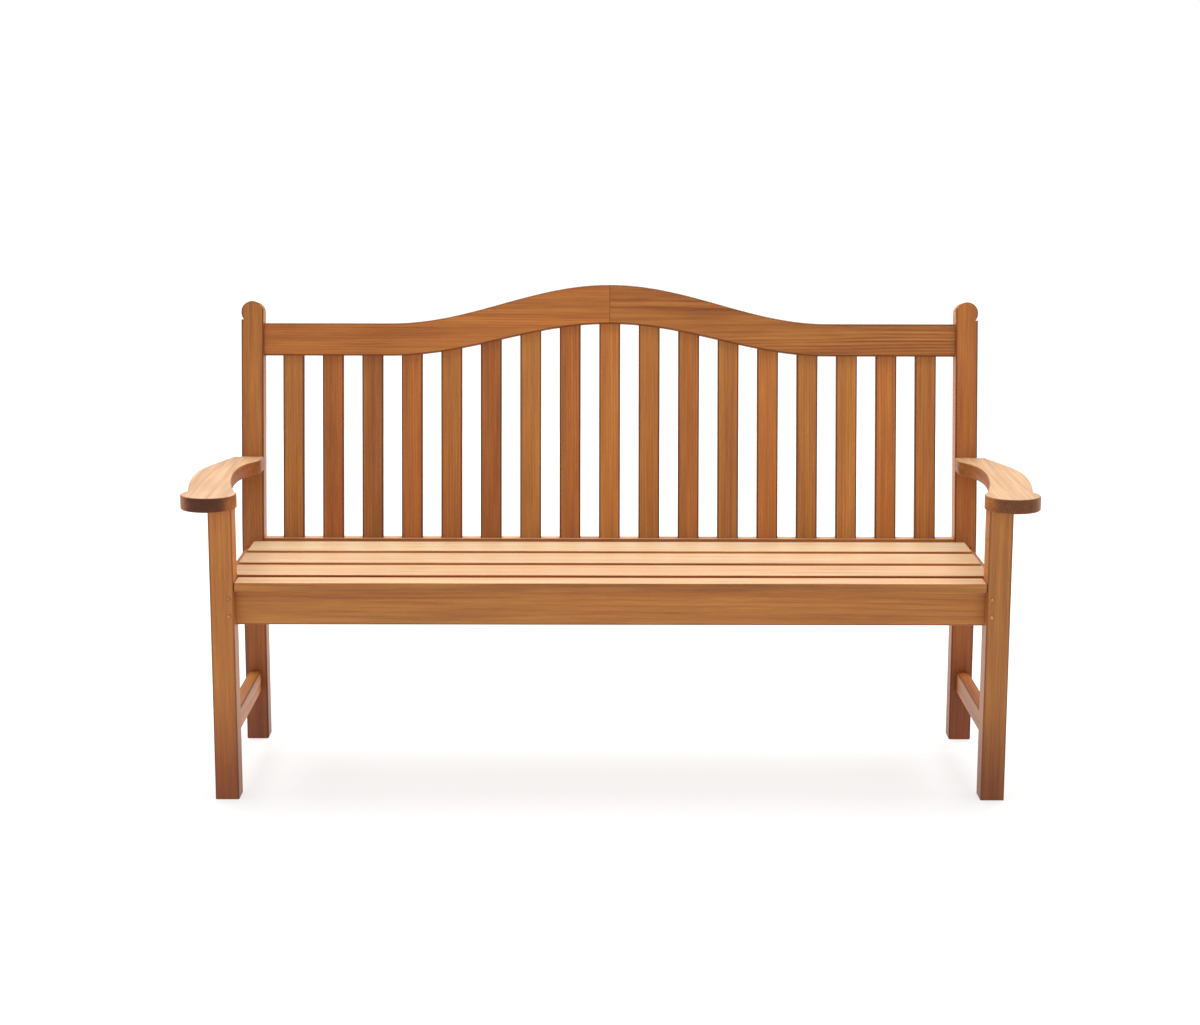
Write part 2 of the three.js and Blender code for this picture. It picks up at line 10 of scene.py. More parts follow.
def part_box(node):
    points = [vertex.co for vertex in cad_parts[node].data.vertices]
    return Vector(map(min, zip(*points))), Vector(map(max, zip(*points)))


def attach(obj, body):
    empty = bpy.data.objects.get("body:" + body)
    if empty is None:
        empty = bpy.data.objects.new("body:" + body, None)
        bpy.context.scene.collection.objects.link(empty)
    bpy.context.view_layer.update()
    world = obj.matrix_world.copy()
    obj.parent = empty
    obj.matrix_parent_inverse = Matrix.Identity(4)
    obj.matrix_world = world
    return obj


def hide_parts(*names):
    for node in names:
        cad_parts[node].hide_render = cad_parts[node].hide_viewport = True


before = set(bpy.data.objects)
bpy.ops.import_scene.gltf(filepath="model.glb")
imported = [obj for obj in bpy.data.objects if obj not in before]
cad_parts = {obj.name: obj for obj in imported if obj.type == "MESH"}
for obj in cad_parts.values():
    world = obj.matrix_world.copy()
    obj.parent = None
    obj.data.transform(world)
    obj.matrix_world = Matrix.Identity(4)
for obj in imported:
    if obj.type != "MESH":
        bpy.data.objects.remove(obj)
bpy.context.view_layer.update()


# ---------------------------------------------------------------- front legs
# Two square legs of oiled teak, planed straight, with their long edges eased. Each has a stub tenon at the
# top for the armrest and mortises for the three rails. They are darker towards the feet.

LEG_SHADES = {"left": 0.61, "right": 0.57}
LEG_DARK_BELOW = 0.24          # how far up from the floor the leg grows darker
ARRIS = 0.003
SHARP_EDGE = math.radians(50)
FLAT = math.radians(0.5)
SAME_PLACE = 1e-6          # corners closer than this are one
NARROW_SHARE = 0.9         # of the easing's size: a narrower face belongs to it
board_numbers = random.Random(11)


class Field:
    """A number, colour or vector that varies over a surface. Arithmetic on it adds Math nodes."""

    def __init__(self, tree, socket=None):
        self.tree = tree
        self.socket = socket

    def node(self, kind, settings=None, inputs=None, output=0):
        """Adds any node: its settings first, then the values or links of its sockets."""
        node = self.tree.nodes.new(kind)
        for name, value in (settings or {}).items():
            if name == "stops":
                set_stops(node.color_ramp, value)
            else:
                setattr(node, name, value)
        for name, value in (inputs or {}).items():
            if isinstance(value, Field):
                self.tree.links.new(value.socket, node.inputs[name])
            else:
                node.inputs[name].default_value = value
        return Field(self.tree, node.outputs[output])

    def maths(self, operation, *values):
        return self.node("ShaderNodeMath", {"operation": operation}, dict(enumerate(values)))

    def __add__(self, other):
        return self.maths("ADD", self, other)

    def __radd__(self, other):
        return self.maths("ADD", other, self)

    def __sub__(self, other):
        return self.maths("SUBTRACT", self, other)

    def __rsub__(self, other):
        return self.maths("SUBTRACT", other, self)

    def __mul__(self, other):
        return self.maths("MULTIPLY", self, other)

    def __truediv__(self, other):
        return self.maths("DIVIDE", self, other)

    def __abs__(self):
        return self.maths("ABSOLUTE", self)

    def fraction(self):
        return self.maths("FRACT", self)

    def step(self, low, high):
        """0 below low, 1 above high, and a smooth rise between them."""
        return self.node("ShaderNodeMapRange", {"interpolation_type": "SMOOTHSTEP"},
                         {"Value": self, "From Min": low, "From Max": high})

    def scaled(self, by):
        """This vector with each component multiplied by that of another."""
        return self.node("ShaderNodeVectorMath", {"operation": "MULTIPLY"}, {0: self, 1: by})

    def parts(self):
        """The three components of this vector."""
        split = self.node("ShaderNodeSeparateXYZ", None, {0: self})
        return [Field(self.tree, socket) for socket in split.socket.node.outputs]

    def painted(self, colour, amount):
        """This colour mixed with another, by an amount from 0 to 1."""
        return self.node("ShaderNodeMix", {"data_type": "RGBA"}, {0: amount, 6: self, 7: colour}, 2)

    def tinted(self, colour, amount):
        """This colour multiplied by another, by an amount from 0 to 1."""
        return self.node("ShaderNodeMix", {"data_type": "RGBA", "blend_type": "MULTIPLY"},
                         {0: amount, 6: self, 7: colour}, 2)


def set_stops(ramp, stops):
    while len(ramp.elements) < len(stops):
        ramp.elements.new(1.0)
    for element, (position, colour) in zip(ramp.elements, stops):
        element.position = position
        element.color = colour


def srgb(red, green, blue):
    """A colour given as it looks on a screen, 0 to 255, in the linear light the shader needs."""
    return tuple(((c / 255 + 0.055) / 1.055) ** 2.4 for c in (red, green, blue)) + (1.0,)


# from the dark late wood to the palest early wood
TEAK_STOPS = [
    (0.0, srgb(112, 60, 18)),
    (0.35, srgb(159, 96, 40)),
    (0.65, srgb(190, 124, 55)),
    (1.0, srgb(220, 162, 90)),
]
RUDDY = srgb(255, 236, 222)
# painted light: the pale that the light and its sheen give the faces that look up
TOP_LIGHT_COLOUR = srgb(204, 178, 140)
# painted shade: the dark put on the eased edges
ARRIS_SHADE_COLOUR = srgb(160, 140, 126)
OILED_END = srgb(140, 118, 98)
# the tint that darkens the wood towards the floor
DARK_BELOW_COLOUR = srgb(196, 168, 146)
QUARTER_SAWN = (0.08, 0.02)    # from the middle of the board to the heart of its tree, across and through
FLAT_SAWN = (0.0, 0.05)
HEART_SPREAD = (0.06, 0.03)    # how much that differs from board to board
RING_WIDTH = 0.0055
RING_SLOPE = 0.006             # how far the rings drift, to the metre of board
RING_WAVER = 0.012             # how far they stray from round
LATE_WOOD = (0.35, 0.9)        # where in a ring the late wood sets in
RING_END = (0.93, 1.0)         # and where it stops
BOARD_SEED = 40                # sets the noise of one board apart from the next
SECOND_DRAW = 7.3              # these draw further numbers from a board's own
THIRD_DRAW = 3.7

# how fine each figure is, in cycles to the metre along, across and through the grain
WAVER_CYCLES = (1.6, 11, 11)
CLOUD_CYCLES = (5, 18, 18)
BAND_CYCLES = (1.5, 45, 45)
STREAK_CYCLES = (5, 170, 170)
FIBRE_CYCLES = (22, 800, 800)
PORE_CYCLES = (120, 2300, 2300)
RING_PATCH_CYCLES = (3, 20, 20)
RUDDY_PATCH_CYCLES = (1.2, 16, 16)

# how much each figure lightens or darkens the wood
SHADE_TONE = 0.6
CLOUD_TONE = 0.3
BAND_TONE = 0.5
STREAK_TONE = 0.55
FIBRE_TONE = 0.4
LATE_WOOD_TONE = 0.22
PORE_TONE = 0.12

TOP_LIGHT_FACING = (0.5, 0.95)         # from none to full painted top light, by how far the normal points up
LOOKS_ALONG = (0.5, 0.9)       # from side grain to end grain
DARK_BELOW_WAVER = 0.1
ROUGHNESS = 0.46
FIBRE_ROUGHNESS = 0.16
END_ROUGHNESS = 0.2
ARRIS_POLISH = 0.06
SHEEN = 0.4
FIBRE_RELIEF = 0.5
PORE_RELIEF = 0.5
LATE_WOOD_RELIEF = 0.25
RELIEF_STRENGTH = 0.35
RELIEF_DEPTH = 0.0006


def teak(name, end_axis, lightness=0.0, heart=QUARTER_SAWN, figure=1.0, dark_below=0.0, arris_shade=0.6,
         end_oil=1.0, painted_top_light=0.0):
    """Oiled teak. It reads the attributes that each board carries: "grain" is the place in the board,
    along, across and through it, "board" tells boards apart, "shade" is how light the board is, and
    "arris" is 1 on its eased edges. end_axis is the direction in which the end grain faces. The later
    arguments are the height below which the wood darkens towards the floor, how much painted shade darkens
    the eased edges, how dark the oil has made the ends, and how much painted light pales the faces that look
    up."""
    material = bpy.data.materials.new(name)
    material.use_nodes = True
    start = Field(material.node_tree)

    def attribute(label, output):
        return start.node("ShaderNodeAttribute", {"attribute_name": label}, output=output)

    grain = attribute("grain", "Vector")
    board = attribute("board", "Fac")
    shade = attribute("shade", "Fac")
    arris = attribute("arris", "Fac")

    def noise(cycles, detail=2.0):
        """Noise from 0 to 1, with this many cycles to the metre along, across and through the grain."""
        return start.node("ShaderNodeTexNoise", {"noise_dimensions": "4D"},
                          {"Vector": grain.scaled(cycles), "W": board * BOARD_SEED, "Scale": 1.0,
                           "Detail": detail})

    along, across, through = grain.parts()
    waver = noise(WAVER_CYCLES) - 0.5
    clouds = noise(CLOUD_CYCLES) - 0.5
    bands = noise(BAND_CYCLES) - 0.5
    streaks = noise(STREAK_CYCLES, 3.0) - 0.5
    fibres = noise(FIBRE_CYCLES, 3.0) - 0.5
    pores = noise(PORE_CYCLES, 1.0).step(0.6, 0.74)

    # growth rings about the heart of the tree, to which the board lies at a slight slope
    heart_across = across + heart[0] + (board - 0.5) * HEART_SPREAD[0]
    heart_through = through + heart[1] + (board * SECOND_DRAW).fraction() * HEART_SPREAD[1]
    radius = start.maths("SQRT", heart_across * heart_across + heart_through * heart_through)
    rings = (radius + along * RING_SLOPE + waver * RING_WAVER * figure) / RING_WIDTH
    late_wood = rings.fraction().step(*LATE_WOOD) * (1 - rings.fraction().step(*RING_END))
    ring_strength = noise(RING_PATCH_CYCLES).step(0.3, 0.75) * figure

    value = (0.5 + lightness + (shade - 0.5) * SHADE_TONE + clouds * CLOUD_TONE + bands * BAND_TONE
             + streaks * STREAK_TONE + fibres * FIBRE_TONE - late_wood * ring_strength * LATE_WOOD_TONE
             - pores * PORE_TONE)
    colour = start.node("ShaderNodeValToRGB", {"stops": TEAK_STOPS}, {"Fac": value})
    redness = (noise(RUDDY_PATCH_CYCLES) + (board * THIRD_DRAW).fraction() * 0.6).step(0.55, 1.1)
    colour = colour.tinted(RUDDY, redness)

    # painted light pales what faces up, painted shade darkens the arrises, and end grain drinks the oil and
    # darkens
    normal = start.node("ShaderNodeNewGeometry", output="Normal")
    if painted_top_light:
        lit_top = normal.parts()[2].step(*TOP_LIGHT_FACING)
        colour = colour.painted(TOP_LIGHT_COLOUR, lit_top * shade * (2 * painted_top_light + streaks * 1.6))
    facing = start.node("ShaderNodeVectorMath", {"operation": "DOT_PRODUCT"}, {0: normal, 1: end_axis}, 1)
    end_grain = abs(facing).step(*LOOKS_ALONG) * end_oil
    colour = colour.tinted(ARRIS_SHADE_COLOUR, arris * (arris_shade + bands * 0.5))
    colour = colour.tinted(OILED_END, end_grain * (1.0 + fibres * 0.5))

    # darker towards the floor, below the given height; on the posts this is painted shade under the seat
    if dark_below:
        height = start.node("ShaderNodeTexCoord", output="Object").parts()[2]
        darkened = 1 - (height + waver * DARK_BELOW_WAVER).step(0.0, dark_below)
        colour = colour.tinted(DARK_BELOW_COLOUR, darkened)

    roughness = ROUGHNESS + fibres * FIBRE_ROUGHNESS + end_grain * END_ROUGHNESS - arris * ARRIS_POLISH
    relief = fibres * FIBRE_RELIEF - pores * PORE_RELIEF - late_wood * LATE_WOOD_RELIEF
    bump = start.node("ShaderNodeBump", None, {"Strength": RELIEF_STRENGTH, "Distance": RELIEF_DEPTH,
                                               "Height": relief})

    shader = material.node_tree.nodes["Principled BSDF"]
    for label, field in {"Base Color": colour, "Roughness": roughness, "Normal": bump}.items():
        material.node_tree.links.new(field.socket, shader.inputs[label])
    shader.inputs["Specular IOR Level"].default_value = SHEEN
    return material


GRAIN_ORDER = {"X": (0, 1, 2), "Y": (1, 0, 2), "Z": (2, 0, 1)}


def set_on_vertices(mesh, label, kind, values):
    """Stores a value for each vertex, in place of any that a cutting tool left there under that name."""
    if label in mesh.attributes:
        mesh.attributes.remove(mesh.attributes[label])
    stored = mesh.attributes.new(label, kind, "POINT")
    stored.data.foreach_set("vector" if kind == "FLOAT_VECTOR" else "value", values)


def lay_grain(mesh, axis, shade):
    """Gives every vertex its place in the board, along, across and through, and the board its own number."""
    count = len(mesh.vertices)
    places = np.empty(count * 3, np.float32)
    mesh.vertices.foreach_get("co", places)
    places = places.reshape(-1, 3)
    places = (places - (places.min(0) + places.max(0)) / 2)[:, GRAIN_ORDER[axis]]
    set_on_vertices(mesh, "grain", "FLOAT_VECTOR", places.ravel())
    set_on_vertices(mesh, "board", "FLOAT", [board_numbers.random()] * count)
    set_on_vertices(mesh, "shade", "FLOAT", [shade] * count)


def mark_arrises(mesh):
    """The eased edges are the faces narrower than the easing."""
    narrow = []
    for face in mesh.polygons:
        corners = [mesh.vertices[i].co for i in face.vertices]
        longest = max((a - b).length for a, b in zip(corners, corners[1:] + corners[:1]))
        width = face.area / longest * (2 if len(corners) == 3 else 1)
        narrow.append(1.0 if width < ARRIS * NARROW_SHARE else 0.0)
    mesh.attributes.new("arris", "FLOAT", "FACE").data.foreach_set("value", narrow)


def worked_in(piece):
    """Works the piece's modifiers into its mesh and leaves it plain."""
    bpy.context.view_layer.update()
    graph = bpy.context.evaluated_depsgraph_get()
    mesh = bpy.data.meshes.new_from_object(piece.evaluated_get(graph), preserve_all_data_layers=True,
                                           depsgraph=graph)
    piece.modifiers.clear()
    piece.data = mesh
    mesh.name = piece.name


def finished(piece):
    """Makes the piece plain, shades its flats flat and its easings soft, and marks the arrises."""
    worked_in(piece)
    piece.data.shade_smooth()
    piece.data.set_sharp_from_angle(angle=SHARP_EDGE)
    piece.modifiers.new("Soft edges", "WEIGHTED_NORMAL").keep_sharp = True
    worked_in(piece)
    mark_arrises(piece.data)
    return piece


def from_cad(node, axis, shade, material):
    """A piece in the shape of a CAD node: its triangles merged into flats, its grain laid along an axis."""
    mesh = bpy.data.meshes.new(f"{node}_board")
    loose = bmesh.new()
    loose.from_mesh(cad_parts[node].data)
    bmesh.ops.remove_doubles(loose, verts=loose.verts, dist=SAME_PLACE)
    bmesh.ops.dissolve_limit(loose, angle_limit=FLAT, verts=loose.verts[:], edges=loose.edges[:])
    loose.to_mesh(mesh)
    loose.free()
    mesh.materials.append(material)
    lay_grain(mesh, axis, shade)
    piece = bpy.data.objects.new(f"{node}_board", mesh)
    bpy.context.scene.collection.objects.link(piece)
    return finished(piece)


leg_wood = teak("leg_wood", end_axis=(0, 0, 1), figure=0.45, dark_below=LEG_DARK_BELOW)
for side, shade in LEG_SHADES.items():
    node = f"front_leg_{side}"
    leg = from_cad(node, "Z", shade, leg_wood)
    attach(leg, "root")
    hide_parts(node)


# ---------------------------------------------------------------- rear posts
# Each post is sawn from one wide board of swept grain: upright to the seat, then leaning back. Its head is
# rounded and nicked on the outer side, and it is mortised for the rails, the stretcher and the crest.

POST_SHADES = {"left": 0.34, "right": 0.5}
POST_SHADE_BELOW = 0.37        # painted shade: from this height down, under the seat, the posts are darker
RAKE = math.radians(9)


def bend_grain(mesh, height):
    """The post's board was picked so that its grain sweeps back with the rake, above this height."""
    grain = np.empty(len(mesh.vertices) * 3, np.float32)
    places = np.empty_like(grain)
    mesh.vertices.foreach_get("co", places)
    mesh.attributes["grain"].data.foreach_get("vector", grain)
    above = np.maximum(places[2::3] - height, 0)
    grain[2::3] -= above * math.tan(RAKE)
    mesh.attributes["grain"].data.foreach_set("vector", grain)


# painted shade darkens the posts' eased edges, and their lower part below the seat
post_wood = teak("post_wood", end_axis=(0, 0, 1), figure=0.45, dark_below=POST_SHADE_BELOW, arris_shade=0.9)
for side, shade in POST_SHADES.items():
    node = f"rear_post_{side}"
    post = from_cad(node, "Z", shade, post_wood)
    bend_grain(post.data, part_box("seat_slat_4")[1].z)
    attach(post, "root")
    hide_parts(node)


# ---------------------------------------------------------------- side rails and stretchers
# The seat's side rails and the low stretchers tie each front leg to its rear post. They are straight teak
# boards with tenons at both ends.

SIDE_SHADES = {"side_seat_rail": 0.5, "side_stretcher": 0.62}

# painted shade: these rails are made darker than the others for the shade they lie in below the seat
shaded_side_wood = teak("shaded_side_wood", end_axis=(0, 1, 0), lightness=-0.12)
for side in ("left", "right"):
    for kind, shade in SIDE_SHADES.items():
        node = f"{kind}_{side}"
        rail = from_cad(node, "Y", shade, shaded_side_wood)
        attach(rail, "root")
        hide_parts(node)


# ---------------------------------------------------------------- front and rear seat rails, and the bearer
# Two long rails join the leg frames. The rear one takes the feet of the back slats, and a bearer between
# the rails holds the seat slats up at mid-span.

RAIL_SHADES = {"front_seat_rail": 0.55, "rear_seat_rail": 0.5}
BEARER_SHADE = 0.5

# painted light pales the rails' tops
rail_wood = teak("rail_wood", end_axis=(1, 0, 0), lightness=0.04, figure=0.8, painted_top_light=0.5)
for node, shade in RAIL_SHADES.items():
    rail = from_cad(node, "X", shade, rail_wood)
    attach(rail, "root")
    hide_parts(node)

bearer = from_cad("middle_bearer", "Y", BEARER_SHADE, shaded_side_wood)
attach(bearer, "root")
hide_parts("middle_bearer")


# ---------------------------------------------------------------- pegs
# Turned teak pegs are driven through the legs and posts to lock every tenon. They are cut off a little
# proud, with a soft rim, and their ends are paler than the wood round them.

PEG_DIAMETER = 0.008
PEG_SIDES = 24
PEG_RIM = 0.0007
PEG_RIM_STEPS = 2
PEG_SHADE = 0.6
PEG_ENDS = ("front", "rear")
RAIL_PEGS = [f"{rail}_rail_peg_{i}" for rail in PEG_ENDS for i in (1, 2)]
SIDE_PEGS = [f"{kind}_peg_{end}" for kind in ("side_rail", "stretcher") for end in PEG_ENDS]
UPWARD = (0, math.sin(RAKE), math.cos(RAKE))     # up the raked back
BACKWARD = (0, math.cos(RAKE), -math.sin(RAKE))  # straight through it, to the rear


class Tree(Field):
    """A Geometry Nodes tree with named inputs. Its fields are written as a material's are."""

    def __init__(self, name, inputs):
        super().__init__(bpy.data.node_groups.new(name, "GeometryNodeTree"))
        sockets = {"Geometry": "NodeSocketGeometry", **inputs}
        for label, kind in sockets.items():
            self.tree.interface.new_socket(label, in_out="INPUT", socket_type=kind)
        self.tree.interface.new_socket("Geometry", in_out="OUTPUT", socket_type="NodeSocketGeometry")
        given = self.tree.nodes.new("NodeGroupInput")
        self.inputs = {socket.name: Field(self.tree, socket) for socket in given.outputs if socket.name}

    def named(self, label, kind="FLOAT"):
        return self.node("GeometryNodeInputNamedAttribute", {"data_type": kind}, {"Name": label})

    def stored(self, geometry, label, value, kind="FLOAT", domain="POINT"):
        return self.node("GeometryNodeStoreNamedAttribute", {"data_type": kind, "domain": domain},
                         {"Geometry": geometry, "Name": label, "Value": value})

    def finish(self, geometry):
        """Ends the tree: instances made real, and the material given."""
        real = self.node("GeometryNodeRealizeInstances", None, {0: geometry})
        painted = self.node("GeometryNodeSetMaterial", None, {0: real, "Material": self.inputs["Material"]})
        out = self.tree.nodes.new("NodeGroupOutput")
        self.tree.links.new(painted.socket, out.inputs[0])


def grown(name, mesh, tree, sizes):
    """An object whose mesh a Geometry Nodes tree turns into the finished boards."""
    piece = bpy.data.objects.new(name, mesh)
    bpy.context.scene.collection.objects.link(piece)
    modifier = piece.modifiers.new("Build", "NODES")
    modifier.node_group = tree.tree
    for item in tree.tree.interface.items_tree:
        if item.in_out == "INPUT" and item.name in sizes:
            modifier[item.identifier] = sizes[item.name]
    return piece


def eased(piece, width, segments):
    """Rounds the piece's edges over, in that many steps."""
    bevel = piece.modifiers.new("Eased edges", "BEVEL")
    bevel.width = width
    bevel.segments = segments
    bevel.limit_method = "ANGLE"
    return piece


def seeds(name, places, sizes, shades):
    """A mesh of bare points, one for each board, that carry its size, number and shade."""
    mesh = bpy.data.meshes.new(name)
    mesh.from_pydata(places, [], [])
    flat = [length for size in sizes for length in size]
    numbers = [board_numbers.random() for _ in places]
    set_on_vertices(mesh, "size", "FLOAT_VECTOR", flat)
    set_on_vertices(mesh, "board", "FLOAT", numbers)
    set_on_vertices(mesh, "shade", "FLOAT", shades)
    return mesh


def unit_tree(name, shape):
    """Sets a unit shape, its X along the grain, at each point, and sizes and turns it there."""
    tree = Tree(name, {"Turn": "NodeSocketVector", "Material": "NodeSocketMaterial"})
    unit = shape(tree)
    place = tree.node("GeometryNodeInputPosition")
    unit = tree.stored(unit, "grain", place, "FLOAT_VECTOR")
    size = tree.named("size", "FLOAT_VECTOR")
    boards = tree.node("GeometryNodeInstanceOnPoints", None,
                       {"Points": tree.inputs["Geometry"], "Instance": unit, "Scale": size,
                        "Rotation": tree.inputs["Turn"]})
    real = tree.node("GeometryNodeRealizeInstances", None, {0: boards})
    grain = tree.named("grain", "FLOAT_VECTOR")
    laid = tree.stored(real, "grain", grain.scaled(size), "FLOAT_VECTOR")
    tree.finish(laid)
    return tree


def unit_peg(tree):
    standing = tree.node("GeometryNodeMeshCylinder", None,
                         {"Vertices": PEG_SIDES, "Radius": 0.5, "Depth": 1.0})
    return tree.node("GeometryNodeTransform", None,
                     {"Geometry": standing, "Rotation": (0, math.radians(90), 0)})


def box_centre(node):
    low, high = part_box(node)
    return (low + high) / 2


def turned(along, across):
    """The rotation that lays a unit shape's X along the grain and its Y across the board."""
    through = Vector(along).cross(Vector(across))
    return Matrix((along, across, through)).transposed().to_euler()


def length_along(node, along, thickness):
    """A board's length, from the box of a CAD node that may lie at a slant."""
    low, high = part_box(node)
    main = max(range(3), key=lambda i: abs(along[i]))
    slant = math.sqrt(1 - along[main] ** 2)
    return ((high - low)[main] - thickness * slant) / abs(along[main])


peg_tree = unit_tree("Pegs", unit_peg)
peg_wood = teak("peg_wood", end_axis=(0, 1, 0), lightness=0.2, end_oil=0.0)
side_peg_wood = teak("side_peg_wood", end_axis=(1, 0, 0), lightness=0.2, end_oil=0.0)
peg_rows = {
    "rail_pegs": (RAIL_PEGS, (0, 1, 0), (-1, 0, 0), peg_wood),
    "side_pegs": (SIDE_PEGS, (1, 0, 0), (0, 1, 0), side_peg_wood),
    "crest_pegs": (["crest_peg"], BACKWARD, (-1, 0, 0), peg_wood),
}
for name, (kinds, along, across, material) in peg_rows.items():
    nodes = [f"{kind}_{side}" for kind in kinds for side in ("left", "right")]
    sizes = [(length_along(node, along, PEG_DIAMETER), PEG_DIAMETER, PEG_DIAMETER) for node in nodes]
    mesh = seeds(name, [box_centre(node) for node in nodes], sizes, [PEG_SHADE] * len(nodes))
    pegs = grown(name, mesh, peg_tree, {"Turn": turned(along, across), "Material": material})
    finished(eased(pegs, PEG_RIM, PEG_RIM_STEPS))
    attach(pegs, "root")
    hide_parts(*nodes)


# ---------------------------------------------------------------- back slats
# Seventeen flat teak slats stand in the rear seat rail, lean back with the posts and go up into the crest.
# They are cut from many boards, so that each has a shade of its own.

SLAT_SHADES = (0.48, 0.48, 0.34, 0.58, 0.46, 0.34, 0.62, 0.48, 0.76,
               0.5, 0.54, 0.56, 0.7, 0.5, 0.74, 0.68, 0.58)
SLAT_THICKNESS = 0.015
EASING_STEPS = 3


def unit_board(tree):
    return tree.node("GeometryNodeMeshCube", None, {"Size": (1, 1, 1)})


board_tree = unit_tree("Boards", unit_board)
# painted shade darkens the slats' eased edges
slat_wood = teak("slat_wood", end_axis=(0, 0, 1), figure=0.9, arris_shade=1.0)
nodes = [f"back_slat_{i + 1:02d}" for i in range(len(SLAT_SHADES))]
slat_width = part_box(nodes[0])[1].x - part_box(nodes[0])[0].x
slat_places = [box_centre(node) for node in nodes]
slat_sizes = [(length_along(node, UPWARD, SLAT_THICKNESS), slat_width, SLAT_THICKNESS) for node in nodes]
slats = grown("back_slats", seeds("back_slats", slat_places, slat_sizes, SLAT_SHADES), board_tree,
              {"Turn": turned(UPWARD, (1, 0, 0)), "Material": slat_wood})
finished(eased(slats, ARRIS, EASING_STEPS))
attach(slats, "root")
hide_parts(*nodes)


# ---------------------------------------------------------------- crest rail and its tongue
# Two boards, sawn to a serpentine, meet at the middle on a hidden loose tongue. Each is tenoned and
# pegged into a post, and housed underneath for the slats.

CREST_SHADES = {"left": 0.58, "right": 0.45}
CREST_CUTS = {"left": (QUARTER_SAWN, 1.0), "right": (FLAT_SAWN, 1.8)}  # how sawn, how strong its figure
CREST_THICKNESS = 0.028
CREST_END_TOP = 0.437      # up the rake from the seat top
CREST_END_DEPTH = 0.066
CREST_TOP_RISE = 0.079
CREST_UNDER_RISE = 0.0655
CREST_WAVE = 0.445
CREST_STEPS = 64
SHORTEST_STEP = 1e-5       # an edge reaching less far along the board is not lengthwise
CREST_TENON = (0.025, 0.058, 0.012)
JOINT_EASING = 0.16        # share of the arris that is taken off where a board butts on another
CLEARANCE = 0.0003
BUTT_GAP = 0.00002         # between the two crest boards, glued tight

POST_DEPTH = 0.045

post_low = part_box("rear_post_right")[0]
seat_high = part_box("seat_slat_4")[1]
back_root = Vector((0, post_low.y + POST_DEPTH / 2, seat_high.z))


def crest_shape():
    """A board shaped to the crest's wave, eased along its long edges, and leant back with the posts."""
    tree = Tree("Serpentine crest", {"Start": "NodeSocketFloat", "End": "NodeSocketFloat",
                                     "Rise": "NodeSocketFloat", "Rise below": "NodeSocketFloat",
                                     "Wave": "NodeSocketFloat", "End top": "NodeSocketFloat",
                                     "End depth": "NodeSocketFloat", "Thickness": "NodeSocketFloat",
                                     "Root": "NodeSocketVector", "Material": "NodeSocketMaterial"})
    given = tree.inputs
    blank = tree.node("GeometryNodeMeshCube", None, {"Size": (1, 1, 1), "Vertices X": CREST_STEPS + 1})
    unit_x, unit_y, unit_z = tree.node("GeometryNodeInputPosition").parts()
    x = given["Start"] + (unit_x + 0.5) * (given["End"] - given["Start"])
    reach = tree.maths("MINIMUM", abs(x) / given["Wave"], 1.0)
    wave = (tree.maths("COSINE", reach * math.pi) + 1) / 2
    top = given["End top"] + given["Rise"] * wave
    under = given["End top"] - given["End depth"] + given["Rise below"] * wave
    z = under + (unit_z + 0.5) * (top - under)
    y = unit_y * given["Thickness"]
    place = tree.node("ShaderNodeCombineXYZ", None, {0: x, 1: y, 2: z})
    shaped = tree.node("GeometryNodeSetPosition", None, {"Geometry": blank, "Position": place})

    # the long edges are eased in full, the ends hardly at all, and the steps along the faces not
    edge = tree.node("GeometryNodeInputMeshEdgeVertices", None, None, "Position 1")
    first = edge.parts()[0]
    second = Field(tree.tree, edge.socket.node.outputs["Position 2"]).parts()[0]
    lengthwise = tree.maths("GREATER_THAN", abs(first - second), SHORTEST_STEP)
    at_end = tree.maths("LESS_THAN", abs((first - given["Start"]) * (first - given["End"])), SAME_PLACE)
    weight = tree.maths("MAXIMUM", lengthwise, at_end * JOINT_EASING)
    shaped = tree.stored(shaped, "bevel_weight_edge", weight, "FLOAT", "EDGE")

    raked = tree.node("GeometryNodeTransform", None,
                      {"Geometry": shaped, "Translation": given["Root"], "Rotation": (-RAKE, 0, 0)})
    tree.finish(raked)
    return tree


def lay_crest_grain(mesh, number, shade):
    """Lays the grain along the raked board, once the cuts are made, which bring in a grain of their own."""
    to_board = Matrix.Rotation(RAKE, 4, "X") @ Matrix.Translation(-back_root)
    places = [to_board @ vertex.co for vertex in mesh.vertices]
    grain = [(place.x, place.z - CREST_END_TOP, place.y) for place in places]
    set_on_vertices(mesh, "grain", "FLOAT_VECTOR", np.array(grain, np.float32).ravel())
    set_on_vertices(mesh, "board", "FLOAT", [number] * len(grain))
    set_on_vertices(mesh, "shade", "FLOAT", [shade] * len(grain))


def shaved(piece, tool, operation="DIFFERENCE"):
    """Cuts a tool's shape out of this piece, or joins it on."""
    cut = piece.modifiers.new("Cut", "BOOLEAN")
    cut.operation = operation
    cut.solver = "EXACT"
    cut.object = tool


def tool_boards(name, tree, places, sizes, turn):
    """Boards that are only used to cut or join, and are thrown away after."""
    mesh = seeds(name, places, sizes, [0.5] * len(places))
    return grown(name, mesh, tree, {"Turn": turn, "Material": None})


def larger(sizes):
    """Sizes grown by the clearance all round, for the hole that takes a board."""
    return [[c + 2 * CLEARANCE for c in size] for size in sizes]


